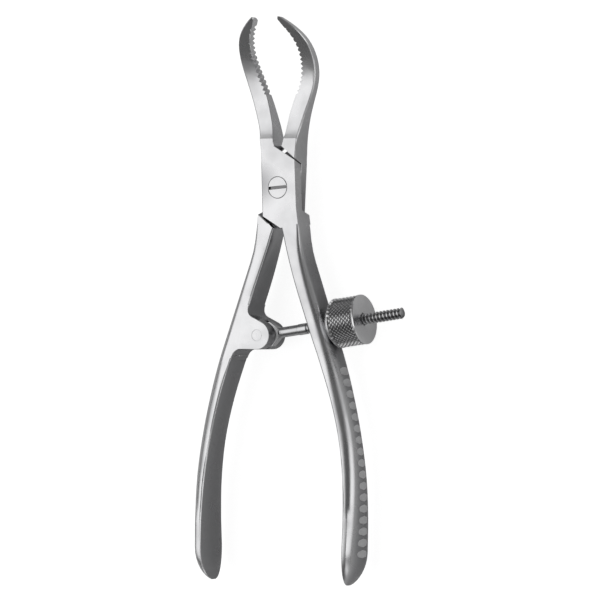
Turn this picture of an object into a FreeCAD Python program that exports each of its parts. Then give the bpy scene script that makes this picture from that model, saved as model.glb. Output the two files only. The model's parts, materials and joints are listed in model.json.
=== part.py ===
"""Bone reduction forceps: two crossed levers on a screw, toothed jaws curved up
out of the plane, and a threaded spindle with a knurled nut that clamps the handles.

Millimetres. X runs across the instrument, Y towards the jaws, Z up from the back
face of the lap joint. The origin is where the joint's axis meets that face. The
jaws are modelled part open, as the instrument is stored.
"""

import FreeCAD, Part
import math
import os

Vec = FreeCAD.Vector

# Lap joint
joint_thickness = 9.0
lap_gap = 0.12
closing_angle = 9.0
lap_reach = 11.2
lap_slant = 60.0
shoulder_clearance = 0.45
shoulder_undercut = 0.65
trim_overrun = 1.0
joint_side_top = (8.0, 7.0)
joint_side_foot = (9.3, 6.3)
lap_side_top = (9.0, 6.8)
lap_side_foot = (7.0, 7.6)
crotch_half = 1.3
crotch_relief = 0.35
crotch_bow = Vec(0.12, 0.05, 0)
root_inset = 0.1

# Joint screw
screw_head_radius = 3.72
screw_head_height = 2.2
screw_shank_radius = 2.6
screw_thread_radius = 2.2
screw_slot_width = 1.05
screw_slot_depth = 1.0
screw_slot_turn = 5.0
running_clearance = 0.05
seat_clearance = 0.02

# Jaws: half widths of the outline at distances from the pivot
jaw_outer = [(18.0, 7.85), (28.0, 10.7), (36.5, 13.65), (45.5, 15.0), (52.0, 13.5), (56.4, 10.0)]
jaw_inner = [(56.2, 6.45), (52.3, 8.6), (46.5, 9.6), (40.5, 8.7), (33.6, 6.3), (25.0, 3.65), (17.5, 2.3)]
tip_reach = 59.5
tip_width = 0.95
tip_skew = 0.1
tip_corner = 0.5
tip_nose = 0.18
tip_clearance = 0.1
crease_reach = 17.3
jaw_front_rise = [(20.5, -0.95), (26.0, -1.5), (33.0, -2.0), (38.5, -1.3), (45.2, 1.4), (52.3, 5.5)]
jaw_back_rise = [(20.5, 1.3), (27.5, 2.55), (34.0, 3.35), (38.5, 4.2), (45.2, 6.9), (52.3, 11.0)]
tip_front_rise = 11.0
tip_back_rise = 16.9
profile_overrun = 1.5
back_flat_reach = 13.0
jaw_bevel = 0.45

# Jaw teeth
tooth_pitch = 1.6
tooth_depth = 0.75
tooth_half_width = 0.72
tooth_overrun = 0.4
first_tooth = 33.6
last_tooth = 57.2

# Handles: stations down from the pivot
handle_stations = [7.0, 13.0, 22.0, 33.0, 47.0, 61.0, 75.0, 89.0, 103.0, 117.0, 128.0]
handle_inner = [-0.3, 1.3, 3.8, 7.5, 12.6, 18.0, 22.7, 26.1, 28.1, 28.8, 28.7]
handle_width = [7.6, 7.25, 6.3, 6.2, 6.3, 6.3, 5.9, 5.6, 5.3, 4.9, 4.6]
handle_depth = [8.6, 9.0, 10.0, 11.5, 11.8, 11.9, 11.5, 11.5, 13.0, 14.7, 15.9]
corner_width = [0.8, 1.0, 2.0, 2.6, 3.3, 4.2, 4.7, 4.9, 4.65, 4.25, 3.95]
corner_depth = [0.8, 1.0, 2.1, 3.0, 3.8, 4.8, 5.4, 5.6, 6.35, 7.2, 7.8]
handle_chamfer = 0.55
handle_end_length = 11.8
handle_end_drift = 1.2
handle_end_taper = 1.35
handle_end_steps = 8
handle_end_turn = 80.0
section_margin = 0.25
corner_fullness = 0.5523
corner_facets = 5

# Grip scoops on the outside of the handles
grip_pitch = 4.0
grip_first = 64.5
grip_last = 128.6
grip_radius = 3.0
grip_depth = 0.38

# Fork on the left handle and the pin through it
pin_x = -7.2
pin_reach = 52.3
pin_radius = 2.0
fork_radius = 5.0
fork_depth = 11.8
fork_top_slope = 25.0
fork_top_start = 10.8
fork_top_blend = 1.6
fork_top_bow = 0.1
fork_foot_blend = 3.2
fork_bend = (0.42, 0.34)

# Spindle
spindle_tilt = 8.6
spindle_length = 56.2
tongue_thickness = 2.6
tongue_clearance = 0.1
tongue_radius = 4.4
tongue_shoulder = 3.2
tongue_taper_end = 6.4
tongue_floor_clearance = 0.5
rod_radius = 1.85
rod_start = 4.6
neck_radius = 0.6
neck_length = 2.4
thread_start = 17.6
thread_radius = 2.0
thread_chamfer = 0.5

# Ball seat in the right handle, washer and nut
seat_centre = 32.0
ball_radius = 6.0
ball_clearance = 0.12
washer_radius = 4.0
nut_start = 28.9
nut_length = 12.0
nut_radius = 8.8
nut_inner_bevel = 1.5
nut_outer_bevel = 0.9
nut_clearance = 0.05
hole_play = 0.3
hole_slot_reach = 1.5

mid = joint_thickness / 2
half_closing = math.radians(closing_angle / 2)
pin_centre = Vec(pin_x, -pin_reach, mid)
spindle_axis = Vec(math.cos(math.radians(spindle_tilt)), math.sin(math.radians(spindle_tilt)), 0)
far = 40.0


def spline(points):
    """One smooth edge through the points."""
    curve = Part.BSplineCurve()
    curve.interpolate(points)
    return curve.toShape()


def line(start, end):
    """A straight edge."""
    return Part.LineSegment(start, end).toShape()


def arc(start, through, end):
    """A circular edge through three points."""
    return Part.Arc(start, through, end).toShape()


def prism(edges, direction):
    """A solid made by pushing a closed outline along a direction."""
    return Part.Face(Part.Wire(Part.__sortEdges__(edges))).extrude(direction)


def mirrored(shape):
    """The same shape on the other side of the YZ plane."""
    return shape.mirror(Vec(0, 0, 0), Vec(1, 0, 0))


def turned(shape, degrees, centre=Vec(0, 0, 0)):
    """A copy turned about an axis parallel to Z."""
    copy = shape.copy()
    copy.rotate(centre, Vec(0, 0, 1), degrees)
    return copy


def on_spindle(distance, offset=0.0):
    """A point on the spindle's line, measured from the pin."""
    side = Vec(-spindle_axis.y, spindle_axis.x, 0)
    return pin_centre + spindle_axis * distance + side * offset


def along(values, station):
    """A handle size at any station, on a smooth curve through the listed ones."""
    steps = handle_stations
    k = max(i for i in range(len(steps) - 1) if i == 0 or steps[i] <= station)
    slopes = []
    for i in (k, k + 1):
        low = max(i - 1, 0)
        high = min(i + 1, len(steps) - 1)
        slopes.append((values[high] - values[low]) / (steps[high] - steps[low]))
    span = steps[k + 1] - steps[k]
    t = (station - steps[k]) / span
    start = (1 + 2 * t) * (1 - t) ** 2 * values[k] + t * (1 - t) ** 2 * span * slopes[0]
    end = t * t * (3 - 2 * t) * values[k + 1] + t * t * (t - 1) * span * slopes[1]
    return start + end


# The left jaw and the joint's front lap, in plan and in profile


def tip_half_gap():
    """Half the gap between the tips, which close to a slit."""
    return tip_reach * math.tan(half_closing) + tip_clearance / 2


def jaw_inner_edge():
    """The inner edge of the left jaw, from the tip to the crotch."""
    points = [Vec(-tip_half_gap(), tip_reach - tip_corner, 0)]
    points += [Vec(-half, reach, 0) for reach, half in jaw_inner]
    return spline(points)


def lap_line(reach, x):
    """Where the lap's slanted edge crosses a given x."""
    slant = math.radians(lap_slant)
    return Vec(x, (reach - x * math.cos(slant)) / math.sin(slant), 0)


def lever_outline():
    """The closed outline of the left jaw and the lap, seen from the front."""
    front_reach = lap_reach + shoulder_undercut
    outer_tip = Vec(-tip_half_gap() - tip_width, tip_reach + tip_skew, 0)
    side_top = Vec(-joint_side_top[1], joint_side_top[0], 0)
    outer = [outer_tip] + [Vec(-half, reach, 0) for reach, half in reversed(jaw_outer)] + [side_top]
    inner = jaw_inner_edge()
    inner_start = inner.Vertexes[0].Point
    inner_end = inner.Vertexes[-1].Point
    nose = Vec(-tip_half_gap() - tip_nose, tip_reach, 0)
    crotch = lap_line(front_reach, -crotch_half)
    lap_corner = lap_line(front_reach, lap_side_top[1])
    foot_corner = lap_line(front_reach, joint_side_foot[1]) * -1
    foot_crotch = lap_line(front_reach, -handle_inner[1]) * -1
    lap_foot = Vec(lap_side_foot[1], -lap_side_foot[0], 0)
    root_outer = Vec(handle_inner[1] + handle_width[1] - root_inset, -handle_stations[1], 0)
    return [
        spline(outer),
        line(side_top, foot_corner),
        line(foot_corner, foot_crotch),
        line(foot_crotch, root_outer),
        line(root_outer, lap_foot),
        line(lap_foot, lap_corner),
        line(lap_corner, crotch),
        arc(crotch, (crotch + inner_end) * 0.5 - crotch_bow, inner_end),
        inner,
        arc(inner_start, nose, outer_tip),
    ]


def side_point(reach, height):
    """A point of the side profile, in the YZ plane."""
    return Vec(-far, reach, height)


def lever_profile():
    """The side view of the jaw and joint: flat at the joint, hollow, then curved up."""
    start = -handle_stations[2]
    end = tip_reach + profile_overrun
    front = [side_point(crease_reach, joint_thickness)]
    front += [side_point(reach, joint_thickness + rise) for reach, rise in jaw_front_rise]
    front += [side_point(end, joint_thickness + tip_front_rise)]
    back = [side_point(back_flat_reach, 0)]
    back += [side_point(reach, rise) for reach, rise in jaw_back_rise]
    back += [side_point(end, tip_back_rise)]
    return [
        line(side_point(start, joint_thickness), front[0]),
        spline(front),
        line(front[-1], back[-1]),
        spline(back),
        line(back[0], side_point(start, 0)),
        line(side_point(start, 0), side_point(start, joint_thickness)),
    ]


def jaw_blank():
    """The jaw and joint as one block, before the lap is cut."""
    plan = prism(lever_outline(), Vec(0, 0, 3 * joint_thickness))
    side = prism(lever_profile(), Vec(2 * far, 0, 0))
    block = plan.common(side)
    return block.makeChamfer(jaw_bevel, outer_edges(block))


def outer_edges(block):
    """The long edges on the outer side of the left jaw, at its front and its back."""
    chosen = []
    for edge in block.Edges:
        middle = edge.valueAt((edge.FirstParameter + edge.LastParameter) / 2)
        if edge.BoundBox.YLength > crease_reach and outside_jaw(middle):
            chosen.append(edge)
    return chosen


def outside_jaw(point):
    """Whether a point lies on the outer side of the left jaw's middle line."""
    inner = [half for reach, half in jaw_inner if reach >= point.y]
    return bool(inner) and -point.x > inner[-1] + tip_width


def tooth_cutters():
    """V shaped cutters square to the jaw's inner edge, one for each tooth gap."""
    curve = jaw_inner_edge().Curve
    first, last = curve.FirstParameter, curve.LastParameter
    count = int((last_tooth - first_tooth) / tooth_pitch) + 1
    cutters = []
    for i in range(count):
        reach = first_tooth + i * tooth_pitch
        low, high = first, last
        for _ in range(40):
            middle = (low + high) / 2
            if curve.value(middle).y > reach:
                low = middle
            else:
                high = middle
        point = curve.value(low)
        run = Vec(*curve.tangent(low)[0])
        out = Vec(-run.y, run.x, 0)
        if out.x < 0:
            out = out * -1
        lean = jaw_lean(reach)
        depth_axis = Vec(0, -math.sin(lean), math.cos(lean))
        widen = 1 + tooth_overrun / tooth_depth
        mouth = point + out * tooth_overrun
        corners = [
            mouth + run * (tooth_half_width * widen),
            mouth - run * (tooth_half_width * widen),
            point - out * tooth_depth,
        ]
        lift = Vec(0, 0, jaw_height(reach)) - depth_axis * joint_thickness
        corners = [corner + lift for corner in corners]
        edges = [line(corners[k], corners[(k + 1) % 3]) for k in range(3)]
        cutters.append(prism(edges, depth_axis * (2 * joint_thickness)))
    return cutters


def jaw_height(reach):
    """The height of the jaw's middle at a distance from the pivot."""
    backs = jaw_back_rise
    fronts = jaw_front_rise
    for k in range(len(backs) - 1):
        if reach <= backs[k + 1][0] or k == len(backs) - 2:
            share = (reach - backs[k][0]) / (backs[k + 1][0] - backs[k][0])
            low = (backs[k][1] + fronts[k][1] + joint_thickness) / 2
            high = (backs[k + 1][1] + fronts[k + 1][1] + joint_thickness) / 2
            return low + share * (high - low)


def jaw_lean(reach):
    """How far the jaw leans up out of the plane, in radians."""
    return math.atan(jaw_height(reach + 0.5) - jaw_height(reach - 0.5))


# Handles


def handle_section(station, shrink=1.0, taper=1.0, drift=0.0):
    """One closed cross-section of the right handle: flat inside, narrow facets round its outside."""
    inner = along(handle_inner, min(station, handle_stations[-1])) - drift
    here = min(station, handle_stations[-1])
    width = along(handle_width, here) * taper
    half = along(handle_depth, here) / 2 * shrink
    round_x = along(corner_width, here) * taper
    round_z = along(corner_depth, here) * shrink
    chamfer = handle_chamfer * taper
    keep = 1 - corner_fullness

    def at(x, z):
        return Vec(inner + x, -station, mid + z)

    def corner(side):
        poles = [
            at(width - round_x, side * half),
            at(width - round_x * keep, side * half),
            at(width, side * (half - round_z * keep)),
            at(width, side * (half - round_z)),
        ]
        curve = Part.BezierCurve()
        curve.setPoles(poles if side > 0 else poles[::-1])
        points = [curve.value(k / corner_facets) for k in range(corner_facets + 1)]
        return [line(points[k], points[k + 1]) for k in range(corner_facets)]

    return Part.Wire(
        [
            line(at(0, -half + chamfer), at(0, half - chamfer)),
            line(at(0, half - chamfer), at(chamfer, half)),
            line(at(chamfer, half), at(width - round_x, half)),
            *corner(1),
            line(at(width, half - round_z), at(width, -half + round_z)),
            *corner(-1),
            line(at(width - round_x, -half), at(chamfer, -half)),
            line(at(chamfer, -half), at(0, -half + chamfer)),
        ]
    )


def handle():
    """The right handle, from inside the joint to its rounded end."""
    sections = [handle_section(station) for station in section_stations()]
    for k in range(handle_end_steps):
        angle = math.radians(handle_end_turn) * (k + 1) / handle_end_steps
        reach = math.sin(angle)
        shrink = math.cos(angle)
        station = handle_stations[-1] + handle_end_length * reach
        sections.append(handle_section(station, shrink, shrink**handle_end_taper, handle_end_drift * reach**2))
    return Part.makeLoft(sections, True, True)


def section_stations():
    """Stations of the cross-sections: one on each ridge of the grip, and as close above it."""
    first, last = handle_stations[0], handle_stations[-1]
    ridge = grip_first - grip_pitch / 2
    above = int((ridge - first) / grip_pitch - section_margin)
    below = int((last - ridge) / grip_pitch - section_margin)
    between = [ridge + k * grip_pitch for k in range(-above, below + 1)]
    return [first] + between + [last]


def crest(station):
    """A point on the outermost line of the right handle, and its outward normal."""
    step = 0.5
    x = along(handle_inner, station) + along(handle_width, station)
    below = along(handle_inner, station + step) + along(handle_width, station + step)
    run = Vec(below - x, -step, 0).normalize()
    return Vec(x, -station, mid), Vec(-run.y, run.x, 0)


def grip_cutters():
    """Cylinders that scoop the finger grip out of the handle's outer side."""
    cutters = []
    count = int((grip_last - grip_first) / grip_pitch) + 1
    for i in range(count):
        point, out = crest(grip_first + i * grip_pitch)
        centre = point + out * (grip_radius - grip_depth) - Vec(0, 0, 2 * joint_thickness)
        cutters.append(Part.makeCylinder(grip_radius, 4 * joint_thickness, centre))
    return cutters


# The lap joint


def slanted_band(half_mid, half_face, slant, face_up):
    """A band across the joint whose two long sides lean out towards one face."""
    direction = 1 if face_up else -1
    start = mid - direction * lap_gap / 2
    end = mid + direction * (mid + trim_overrun)
    lean = (half_face - half_mid) / mid
    rings = []
    for height in (start, end):
        half = half_mid + lean * (height - mid) * direction
        corners = [Vec(half, far, height), Vec(-half, far, height)]
        corners += [Vec(-half, -far, height), Vec(half, -far, height)]
        rings.append(Part.makePolygon(corners + corners[:1]))
    band = Part.makeLoft(rings, True, True)
    return turned(band, slant)


def lap_pocket():
    """What the front lever loses behind its lap, for the other lever's lap."""
    half_mid = lap_reach - shoulder_undercut + shoulder_clearance
    half_face = lap_reach + shoulder_undercut + shoulder_clearance
    slant = 180 - (lap_slant - closing_angle)
    return slanted_band(half_mid, half_face, slant, False)


def lap_trims():
    """Wedges that undercut the two slanted edges of the front lap."""
    face = joint_thickness + trim_overrun
    lean = 2 * shoulder_undercut / mid
    high = lap_reach + shoulder_undercut + lean * trim_overrun
    low = lap_reach - shoulder_undercut
    outside = high + trim_overrun
    floor = mid - trim_overrun
    crotch = turned(Part.Vertex(lap_line(lap_reach + shoulder_undercut, -crotch_half)), -lap_slant).Point
    start = -crotch.y - crotch_relief
    corners = [(high, face), (low, mid), (low, floor), (outside, floor), (outside, face)]
    points = [Vec(u, -start, z) for u, z in corners]
    edges = [line(points[k], points[(k + 1) % len(points)]) for k in range(len(points))]
    wedge = turned(prism(edges, Vec(0, -far / 2, 0)), lap_slant)
    return [wedge, turned(wedge, 180)]


def screw_hole():
    """The front lever's stepped bore for the joint screw."""
    head_floor = joint_thickness - screw_head_height - running_clearance
    shank = Part.makeCylinder(screw_shank_radius + running_clearance, joint_thickness)
    head_hole = Part.makeCylinder(screw_head_radius + running_clearance, joint_thickness, Vec(0, 0, head_floor))
    return shank.fuse(head_hole)


def lever_blank():
    """Left jaw, lap joint and right handle in one piece."""
    blank = jaw_blank().fuse(handle())
    return blank.removeSplitter()


def front_lever(blank):
    """The lever in front at the joint: left jaw and right handle."""
    hole_end = on_spindle(seat_centre)
    seat = Part.makeSphere(ball_radius + ball_clearance, hole_end)
    cutters = [lap_pocket(), screw_hole(), seat, spindle_slot()]
    cutters += lap_trims() + tooth_cutters() + grip_cutters()
    return blank.cut(cutters)


def rear_lever(blank):
    """The lever behind at the joint: right jaw and left handle, with the fork."""
    flipped = mirrored(blank)
    pocket = mirrored(lap_pocket())
    trims = [mirrored(trim) for trim in lap_trims()]
    behind = [piece.mirror(Vec(0, 0, mid), Vec(0, 0, 1)) for piece in [pocket] + trims]
    cutters = behind + [mirrored(piece) for piece in tooth_cutters() + grip_cutters()]
    thread_hole = Part.makeCylinder(screw_thread_radius + seat_clearance, joint_thickness)
    body = flipped.fuse(fork()).removeSplitter()
    return body.cut(cutters + [thread_hole, fork_slot(), pin_hole()])


# Fork, pin and spindle


def fork():
    """The lug on the left handle that carries the spindle."""
    slope = math.radians(fork_top_slope)
    foot = pin_reach + fork_radius
    start = pin_reach - fork_top_start
    tangent = pin_centre + Vec(math.sin(slope), math.cos(slope), 0) * fork_radius
    bottom = pin_centre + Vec(0, -fork_radius, 0)
    upper = Vec(-along(handle_inner, start), -start, mid)
    top_x = upper.x + fork_top_blend
    top = Vec(top_x, tangent.y + (tangent.x - top_x) * math.tan(slope), mid)
    bend = Vec(upper.x - fork_top_bow, (upper.y + top.y * 2) / 3, mid)
    lower_station = foot + fork_foot_blend
    lower = Vec(-along(handle_inner, lower_station), -lower_station, mid)
    heel = Vec(lower.x + fork_foot_blend, -foot, mid)
    heel_bend = Vec(lower.x + fork_foot_blend * fork_bend[0], -foot - fork_foot_blend * fork_bend[1], mid)
    inside = along(handle_width, pin_reach) / 2
    inner_low = lower - Vec(inside, 0, 0)
    inner_high = upper - Vec(inside, 0, 0)
    right = pin_centre + Vec(fork_radius, 0, 0)
    edges = [
        arc(upper, bend, top),
        line(top, tangent),
        arc(tangent, right, bottom),
        line(bottom, heel),
        arc(heel, heel_bend, lower),
        line(lower, inner_low),
        line(inner_low, inner_high),
        line(inner_high, upper),
    ]
    lug = prism(edges, Vec(0, 0, fork_depth))
    lug.translate(Vec(0, 0, -fork_depth / 2))
    return lug


def fork_slot():
    """The slot in the fork for the spindle's tongue."""
    thickness = tongue_thickness + 2 * tongue_clearance
    radius = tongue_radius + tongue_floor_clearance
    base = pin_centre - Vec(0, 0, thickness / 2)
    floor = Part.makeCylinder(radius, thickness, base)
    mouth = Part.makeBox(3 * radius, 4 * radius, thickness, base - Vec(0, 2 * radius, 0))
    return floor.fuse(mouth)


def pin_hole():
    """The bore through both cheeks of the fork."""
    base = pin_centre - Vec(0, 0, fork_depth)
    return Part.makeCylinder(pin_radius + seat_clearance, 2 * fork_depth, base)


def swivel_pin():
    """The pin that the spindle swivels on, flush with the fork's cheeks."""
    return Part.makeCylinder(pin_radius, fork_depth, pin_centre - Vec(0, 0, fork_depth / 2))


def joint_screw():
    """Slotted screw: head in the front lap, thread in the rear lap, end ground flush."""
    shoulder = mid - lap_gap / 2
    head_floor = joint_thickness - screw_head_height
    thread = Part.makeCylinder(screw_thread_radius, shoulder)
    shank = Part.makeCylinder(screw_shank_radius, head_floor - shoulder, Vec(0, 0, shoulder))
    head = Part.makeCylinder(screw_head_radius, screw_head_height, Vec(0, 0, head_floor))
    length = 3 * screw_head_radius
    slot_floor = joint_thickness - screw_slot_depth
    corner = Vec(-length / 2, -screw_slot_width / 2, slot_floor)
    slot = Part.makeBox(length, screw_slot_width, joint_thickness, corner)
    return thread.fuse([shank, head]).removeSplitter().cut(turned(slot, screw_slot_turn))


def spindle():
    """Flat tongue, smooth neck and threaded rod in one piece."""
    low = -tongue_thickness / 2
    rim = math.sqrt(tongue_radius**2 - tongue_shoulder**2 / 4)
    points = [
        Vec(0, tongue_radius, low),
        Vec(tongue_shoulder, tongue_radius, low),
        Vec(tongue_taper_end, rod_radius, low),
        Vec(tongue_taper_end, -rod_radius, low),
        Vec(tongue_shoulder, -tongue_radius, low),
        Vec(0, -tongue_radius, low),
    ]
    edges = [line(points[k], points[k + 1]) for k in range(5)]
    edges.append(arc(points[5], Vec(-tongue_radius, 0, low), points[0]))
    tongue = prism(edges, Vec(0, 0, tongue_thickness))
    east = Vec(1, 0, 0)
    neck = Part.makeCone(neck_radius, rod_radius, neck_length, Vec(rod_start, 0, 0), east)
    plain_start = rod_start + neck_length
    rod = Part.makeCylinder(rod_radius, thread_start - plain_start, Vec(plain_start, 0, 0), east)
    plain_length = spindle_length - thread_start - thread_chamfer
    thread = Part.makeCylinder(thread_radius, plain_length, Vec(thread_start, 0, 0), east)
    end_start = Vec(spindle_length - thread_chamfer, 0, 0)
    end = Part.makeCone(thread_radius, thread_radius - thread_chamfer, thread_chamfer, end_start, east)
    hole_base = Vec(0, 0, low * 2)
    hole = Part.makeCylinder(pin_radius + running_clearance, tongue_thickness * 2, hole_base)
    return laid_on_spindle(tongue.fuse([neck, rod, thread, end]).removeSplitter().cut(hole))


def laid_on_spindle(shape):
    """Moves a shape drawn along +X from the pin onto the spindle's line."""
    shape.rotate(Vec(0, 0, 0), Vec(0, 0, 1), spindle_tilt)
    shape.translate(pin_centre)
    return shape


def spindle_slot():
    """The slotted hole in the right handle that the spindle passes through."""
    radius = thread_radius + hole_play
    length = seat_centre
    east = Vec(1, 0, 0)
    start = thread_start - thread_radius
    ends = [Part.makeCylinder(radius, length, Vec(start, side * hole_slot_reach, 0), east) for side in (-1, 1)]
    corner = Vec(start, -hole_slot_reach, -radius)
    middle = Part.makeBox(length, 2 * hole_slot_reach, 2 * radius, corner)
    return laid_on_spindle(middle.fuse(ends))


def thrust_washer():
    """Domed washer between the nut and the ball seat of the right handle."""
    ball = Part.makeSphere(ball_radius, Vec(seat_centre, 0, 0))
    east = Vec(1, 0, 0)
    start = seat_centre - ball_radius - 1
    face = nut_start - nut_clearance
    body = Part.makeCylinder(washer_radius, face - start, Vec(start, 0, 0), east).common(ball)
    bore = Part.makeCylinder(thread_radius + nut_clearance, seat_centre, Vec(start - 1, 0, 0), east)
    return laid_on_spindle(body.cut(bore))


def knurled_nut():
    """The nut's plain body: the knurl is a surface finish."""
    inner = thread_radius + nut_clearance
    outline = [
        Vec(nut_start, inner, 0),
        Vec(nut_start, nut_radius - nut_inner_bevel, 0),
        Vec(nut_start + nut_inner_bevel, nut_radius, 0),
        Vec(nut_start + nut_length - nut_outer_bevel, nut_radius, 0),
        Vec(nut_start + nut_length, nut_radius - nut_outer_bevel, 0),
        Vec(nut_start + nut_length, inner, 0),
    ]
    face = Part.Face(Part.makePolygon(outline + outline[:1]))
    return laid_on_spindle(face.revolve(Vec(0, 0, 0), Vec(1, 0, 0), 360))


def main():
    """Builds every piece and writes each to its own file."""
    os.makedirs("parts", exist_ok=True)
    blank = lever_blank()
    pieces = {
        "rear_lever": rear_lever(blank),
        "front_lever": front_lever(blank),
        "joint_screw": joint_screw(),
        "swivel_pin": swivel_pin(),
        "spindle": spindle(),
        "thrust_washer": thrust_washer(),
        "knurled_nut": knurled_nut(),
    }
    for name, shape in pieces.items():
        shape.exportStep(f"parts/{name}.step")
        box = shape.BoundBox
        print(
            f"{name}: {len(shape.Solids)} solid, valid {shape.isValid()}, volume {shape.Volume:.1f},"
            f" box {box.XMin:.1f} {box.YMin:.1f} {box.ZMin:.1f} to {box.XMax:.1f} {box.YMax:.1f} {box.ZMax:.1f}"
        )


main()
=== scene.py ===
"""Bone reduction forceps in satin steel, lying on a pale floor.

The levers, the screw, the pin and the washer keep their frame shapes and get fine
bevels, smooth shading and finishes. The threaded spindle and the knurled nut are
modelled here. All lengths are in metres, in the frame's own place.
"""

from __future__ import annotations

import json
import logging
import math
from collections.abc import Callable
from dataclasses import dataclass, field
from enum import Enum

import bmesh
import bpy
from bpy.types import Material, Mesh, MeshEdge, MeshPolygon, Node, NodeSocket, NodeTree, Object
from mathutils import Matrix, Vector
from mathutils.bvhtree import BVHTree


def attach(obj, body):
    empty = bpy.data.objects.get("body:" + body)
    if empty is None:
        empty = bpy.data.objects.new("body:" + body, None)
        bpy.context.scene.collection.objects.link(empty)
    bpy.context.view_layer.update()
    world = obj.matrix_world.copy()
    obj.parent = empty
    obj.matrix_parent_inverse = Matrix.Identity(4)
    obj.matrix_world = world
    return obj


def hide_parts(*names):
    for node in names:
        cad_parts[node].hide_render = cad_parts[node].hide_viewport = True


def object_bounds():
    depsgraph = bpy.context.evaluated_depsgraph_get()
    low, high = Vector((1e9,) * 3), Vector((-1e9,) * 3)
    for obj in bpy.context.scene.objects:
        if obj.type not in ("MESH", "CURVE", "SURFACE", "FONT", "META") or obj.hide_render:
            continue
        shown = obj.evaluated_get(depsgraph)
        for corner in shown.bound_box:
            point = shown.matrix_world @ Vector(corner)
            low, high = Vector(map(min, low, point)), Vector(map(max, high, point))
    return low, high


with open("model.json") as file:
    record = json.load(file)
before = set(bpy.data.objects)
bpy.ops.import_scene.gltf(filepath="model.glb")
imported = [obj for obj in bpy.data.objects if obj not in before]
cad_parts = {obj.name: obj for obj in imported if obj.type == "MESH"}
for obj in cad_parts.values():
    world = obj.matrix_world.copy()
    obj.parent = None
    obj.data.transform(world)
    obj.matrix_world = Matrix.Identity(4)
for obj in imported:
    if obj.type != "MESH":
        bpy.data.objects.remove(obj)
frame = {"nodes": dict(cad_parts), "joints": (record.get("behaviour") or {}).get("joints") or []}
cad_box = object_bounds()

MM = 0.001
WHITE = (1.0, 1.0, 1.0, 1.0)
GOLDEN_ANGLE = math.pi * (3.0 - math.sqrt(5.0))
# The numbers that are written on a mesh for its finish to read.
# How shut in a vertex is, by which the finishes paint shade into hollows, gaps and grooves.
RECESS = "recess"
PAD = "ground_pad"
# How much of a direction a normal or an edge needs to count as pointing that way.
POINTING = 0.9
# How near two corners of a new mesh lie before they are joined.
DOUBLES = 0.002 * MM
# What the input of a shader node takes: a value, or another node's output.
Input = float | tuple[float, ...] | NodeSocket
log = logging.getLogger("forceps")


class Slot(Enum):
    """The record's material slots."""

    LEVER = "lever_steel"
    SCREW = "screw_steel"
    SPINDLE = "spindle_steel"
    NUT = "nut_steel"


def deselect() -> None:
    """Goes back to object mode and clears the selection."""
    if bpy.context.object and bpy.context.object.mode != "OBJECT":
        bpy.ops.object.mode_set(mode="OBJECT")
    bpy.ops.object.select_all(action="DESELECT")


def choose(piece: Object) -> None:
    """Makes one object the only one selected, and the active one."""
    deselect()
    piece.select_set(True)
    bpy.context.view_layer.objects.active = piece


def add_piece(name: str, mesh: Mesh) -> Object:
    """Puts a mesh into the scene as a new object, and chooses it.

    Args:
        name: The object's name.
        mesh: Its mesh.

    Returns:
        The object.
    """
    piece = bpy.data.objects.new(name, mesh)
    bpy.context.scene.collection.objects.link(piece)
    choose(piece)
    return piece


def add_line(name: str, points: list[tuple[float, float, float]]) -> Object:
    """Draws a line through points in order, as a new object without faces."""
    mesh = bpy.data.meshes.new(name)
    mesh.from_pydata(points, [(k, k + 1) for k in range(len(points) - 1)], [])
    return add_piece(name, mesh)


def select_part(piece: Object, part: str, wanted: Callable[[bpy.types.bpy_struct], bool]) -> None:
    """Selects the vertices, edges or faces of a mesh that a test accepts.

    The object is left in edit mode.

    Args:
        piece: The object.
        part: "VERT", "EDGE" or "FACE".
        wanted: A test that takes the vertex, edge or face.
    """
    choose(piece)
    bpy.ops.object.mode_set(mode="EDIT")
    bpy.ops.mesh.select_mode(type=part)
    bpy.ops.mesh.select_all(action="DESELECT")
    bpy.ops.object.mode_set(mode="OBJECT")
    mesh = piece.data
    groups = {"VERT": mesh.vertices, "EDGE": mesh.edges, "FACE": mesh.polygons}
    for element in groups[part]:
        element.select = bool(wanted(element))
    bpy.ops.object.mode_set(mode="EDIT")


def edit_all(piece: Object) -> None:
    """Opens a piece in edit mode with all of it selected."""
    choose(piece)
    bpy.ops.object.mode_set(mode="EDIT")
    bpy.ops.mesh.select_all(action="SELECT")


def end_edit() -> None:
    """Goes back to object mode."""
    bpy.ops.object.mode_set(mode="OBJECT")


def extrude(move: float) -> None:
    """Extrudes what is selected upwards, or downwards where the move is negative."""
    bpy.ops.mesh.extrude_region_move(TRANSFORM_OT_translate={"value": (0, 0, move)})


def fix_normals(piece: Object) -> None:
    """Merges doubles and turns every face outwards."""
    edit_all(piece)
    bpy.ops.mesh.remove_doubles(threshold=DOUBLES)
    bpy.ops.mesh.normals_make_consistent(inside=False)
    end_edit()


def add_bevel(piece: Object, width: float, limit: float) -> None:
    """Rounds the sharp edges of a piece with two facets.

    Args:
        piece: The object.
        width: The bevel's width.
        limit: The smallest angle between faces that counts as sharp, in degrees.
    """
    choose(piece)
    bevel = piece.modifiers.new("edge_break", "BEVEL")
    bevel.width = width
    bevel.segments = 2
    bevel.limit_method = "ANGLE"
    bevel.angle_limit = math.radians(limit)
    bevel.use_clamp_overlap = True
    bevel.harden_normals = False
    bpy.ops.object.modifier_apply(modifier=bevel.name)


def smooth(piece: Object, angle: float) -> None:
    """Shades a piece smooth, apart from marked edges and turns of more than an angle in degrees."""
    choose(piece)
    bpy.ops.object.shade_smooth_by_angle(angle=math.radians(angle), keep_sharp_edges=True)


def settle(piece: Object) -> None:
    """Bakes an object's place, turn and scale into its mesh."""
    choose(piece)
    bpy.ops.object.transform_apply(location=True, rotation=True, scale=True)


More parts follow.
